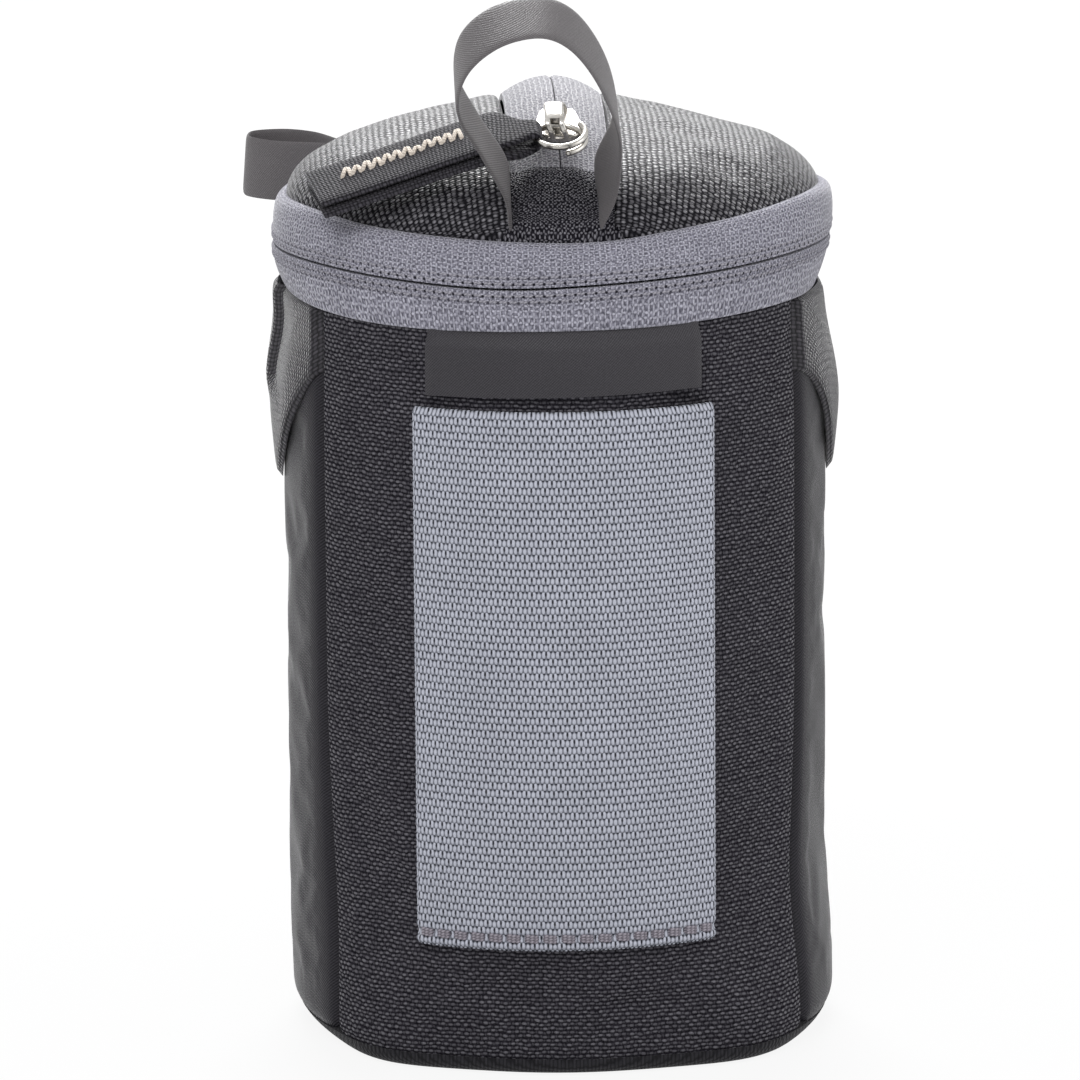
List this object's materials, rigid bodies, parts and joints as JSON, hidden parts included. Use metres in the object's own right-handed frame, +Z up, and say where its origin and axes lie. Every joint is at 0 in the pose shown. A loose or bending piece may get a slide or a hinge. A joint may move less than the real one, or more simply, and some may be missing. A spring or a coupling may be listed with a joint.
{
  "type": "lens pouch",
  "caption": "Round padded cloth lens pouch with a zipped domed lid, a zip over the lid's crown, ribbon grab loops and a grey webbing belt loop",
  "frame": {"origin": "centre of the flat base, on the surface the pouch stands on", "axes": "+Z up, the belt webbing faces -Y, +X to the right of a viewer who faces the belt webbing"},
  "size_m": [0.0933, 0.1077, 0.1728],
  "materials": {
    "black_cloth": "black woven nylon pack cloth",
    "lid_cloth": "black coarse ballistic weave",
    "foam": "closed-cell padding behind cloth",
    "lining": "soft grey brushed lining",
    "zip_tape": "grey woven zip tape",
    "zip_coil": "nylon coil",
    "grey_webbing": "grey plain-weave nylon webbing",
    "black_webbing": "black nylon webbing",
    "satin": "black satin twill label",
    "ribbon": "dark satin ribbon",
    "nickel": "bright nickel plate"
  },
  "bodies": {
    "case_body": {"base_panel": "black_cloth", "base_foam": "foam", "front_panel": "black_cloth", "left_side_panel": "black_cloth", "back_panel": "black_cloth", "right_side_panel": "black_cloth", "wall_foam": "foam", "wall_lining": "lining", "base_lining": "lining", "rim_binding": "black_cloth", "lower_zip_tape": "zip_tape", "lower_zip_coil": "zip_coil", "hinge_panel": "black_cloth", "belt_webbing": "grey_webbing", "name_label": "satin", "side_loop_left": "black_webbing", "side_loop_right": "black_webbing"},
    "lid": {"upper_zip_tape": "zip_tape", "upper_zip_coil": "zip_coil", "lid_left_panel": "lid_cloth", "lid_right_panel": "lid_cloth", "lid_foam": "foam", "lid_lining": "lining", "crown_tape_left": "zip_tape", "crown_coil_left": "zip_coil", "crown_tape_right": "zip_tape", "crown_coil_right": "zip_coil", "crown_front_tab": "black_cloth", "crown_rear_tab": "black_cloth"},
    "lid_loop": {"lid_grab_loop": "ribbon"},
    "side_loop": {"side_grab_loop": "ribbon"},
    "crown_slider": {"crown_slider_body": "nickel"},
    "crown_ring": {"crown_pull_ring": "nickel"},
    "crown_pull": {"crown_pull_strap": "black_webbing"},
    "rim_slider": {"rim_slider_body": "nickel"},
    "rim_ring": {"rim_pull_ring": "nickel"},
    "rim_pull": {"rim_pull_strap": "black_webbing"}
  },
  "joints": [
    {"name": "lid_hinge", "type": "hinge", "parent": "case_body", "child": "lid", "pos_m": [0, 0.0451, 0.126], "axis": [-1, 0, 0], "range_deg": [0, 150], "deforming": ["hinge_panel"]},
    {"name": "lid_loop_flex", "type": "hinge", "parent": "lid", "child": "lid_loop", "pos_m": [-0.0012, -0.0391, 0.1373], "axis": [-1, 0, 0], "range_deg": [-15, 15], "stiffness_Nm_per_rad": 0.004},
    {"name": "side_loop_flex", "type": "hinge", "parent": "lid", "child": "side_loop", "pos_m": [-0.03277, 0.03055, 0.1316], "axis": [0, 0, -1], "range_deg": [-8, 40], "stiffness_Nm_per_rad": 0.004},
    {"name": "crown_slider_travel", "type": "hinge", "parent": "lid", "child": "crown_slider", "pos_m": [0, 0, 0.0757], "axis": [-1, 0, 0], "range_deg": [0, 38]},
    {"name": "crown_ring_swing", "type": "hinge", "parent": "crown_slider", "child": "crown_ring", "pos_m": [0, -0.02657, 0.14844], "axis": [-1, 0, 0], "range_deg": [0, 68]},
    {"name": "crown_pull_swing", "type": "hinge", "parent": "crown_ring", "child": "crown_pull", "pos_m": [-0.0039, -0.03022, 0.14708], "axis": [0, 0.9428, 0.3333], "range_deg": [0, 80]},
    {"name": "rim_slider_travel", "type": "hinge", "parent": "case_body", "child": "rim_slider", "pos_m": [0, 0, 0.126], "axis": [0, 0, -1], "range_deg": [0, 245]},
    {"name": "rim_ring_swing", "type": "hinge", "parent": "rim_slider", "child": "rim_ring", "pos_m": [0.03111, 0.03583, 0.126], "axis": [0, 0, 1], "range_deg": [0, 60]},
    {"name": "rim_pull_swing", "type": "hinge", "parent": "rim_ring", "child": "rim_pull", "pos_m": [0.03409, 0.03332, 0.1221], "axis": [0.766, -0.6428, 0], "range_deg": [0, 90]}
  ]
}
